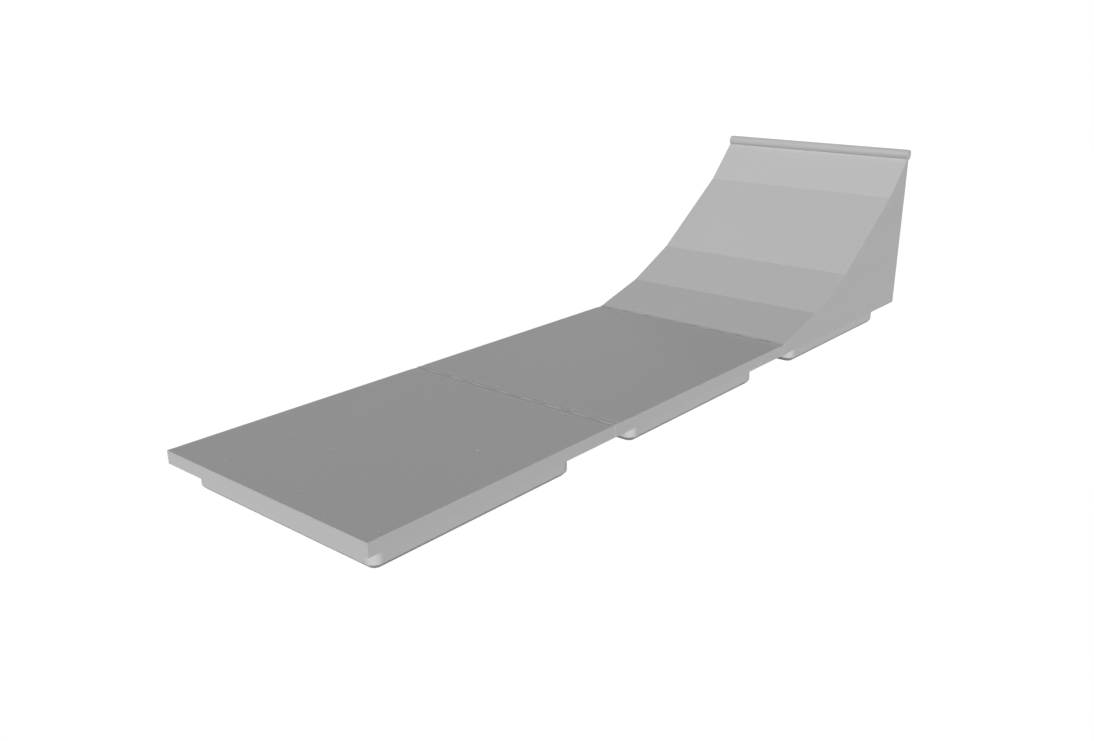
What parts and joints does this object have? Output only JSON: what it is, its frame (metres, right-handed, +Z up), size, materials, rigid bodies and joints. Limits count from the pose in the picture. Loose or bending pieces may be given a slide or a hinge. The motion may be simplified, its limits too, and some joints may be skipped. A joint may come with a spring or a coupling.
{
  "type": "fold-up skate ramp",
  "caption": "Portable fold-up quarter pipe with a faceted transition, steel coping and a hinged run-up deck, standing on moulded base pods.",
  "frame": {"origin": "middle of the length and of the width, on the ground the pods' rubber strips stand on", "axes": "+X from the deck's front edge to the quarter pipe's back, +Y to the far side, +Z up"},
  "size_m": [3.194, 0.914, 0.7862],
  "materials": {
    "riding_sheet": "grey composite riding sheet with a fine orange-peel texture",
    "transition_sheet": "grey composite riding sheet, satin",
    "side_board": "grey painted plywood, satin",
    "framing_timber": "grey painted softwood, satin, faint grain",
    "pod_plastic": "light grey moulded plastic with a fine grain",
    "grip_rubber": "dark matt rubber",
    "coping_steel": "pale grey coated steel tube, lightly scuffed",
    "fitting_steel": "zinc-plated steel, satin"
  },
  "bodies": {
    "quarter_section": {"transition_panel_1": "transition_sheet", "transition_panel_2": "transition_sheet", "transition_panel_3": "transition_sheet", "transition_panel_4": "transition_sheet", "template_near": "side_board", "template_far": "side_board", "centre_rib": "side_board", "foot_rail": "framing_timber", "back_rail_low": "framing_timber", "back_rail_middle": "framing_timber", "transition_joist_1": "framing_timber", "transition_joist_2": "framing_timber", "transition_joist_3": "framing_timber", "transition_joist_4": "framing_timber", "coping_rail": "framing_timber", "base_rail_1": "framing_timber", "base_rail_2": "framing_timber", "base_rail_3": "framing_timber", "base_rail_4": "framing_timber", "coping": "coping_steel", "coping_screw_1": "fitting_steel", "coping_screw_2": "fitting_steel", "coping_screw_3": "fitting_steel", "quarter_pod": "pod_plastic", "quarter_pod_strip_1": "grip_rubber", "quarter_pod_strip_2": "grip_rubber", "rear_hinge_leaf_2": "fitting_steel", "rear_hinge_pin": "fitting_steel"},
    "middle_section": {"middle_sheet": "riding_sheet", "middle_side_rail_near": "framing_timber", "middle_side_rail_far": "framing_timber", "middle_end_rail_front": "framing_timber", "middle_end_rail_rear": "framing_timber", "middle_joist_1": "framing_timber", "middle_joist_2": "framing_timber", "middle_joist_3": "framing_timber", "middle_joist_4": "framing_timber", "middle_pod": "pod_plastic", "middle_pod_strip_1": "grip_rubber", "middle_pod_strip_2": "grip_rubber", "front_hinge_leaf_2": "fitting_steel", "front_hinge_pin": "fitting_steel", "rear_hinge_leaf_1": "fitting_steel"},
    "front_section": {"front_sheet": "riding_sheet", "front_side_rail_near": "framing_timber", "front_side_rail_far": "framing_timber", "front_end_rail_front": "framing_timber", "front_end_rail_rear": "framing_timber", "front_joist_1": "framing_timber", "front_joist_2": "framing_timber", "front_joist_3": "framing_timber", "front_joist_4": "framing_timber", "front_pod": "pod_plastic", "front_pod_strip_1": "grip_rubber", "front_pod_strip_2": "grip_rubber", "front_hinge_leaf_1": "fitting_steel"}
  },
  "joints": [
    {"name": "rear_fold", "type": "hinge", "parent": "quarter_section", "child": "middle_section", "pos_m": [0.521, 0, 0.1333], "axis": [0, 1, 0], "range_deg": [0, 120]},
    {"name": "front_fold", "type": "hinge", "parent": "middle_section", "child": "front_section", "pos_m": [-0.583, 0, 0.1333], "axis": [0, 1, 0], "range_deg": [0, 180]}
  ]
}
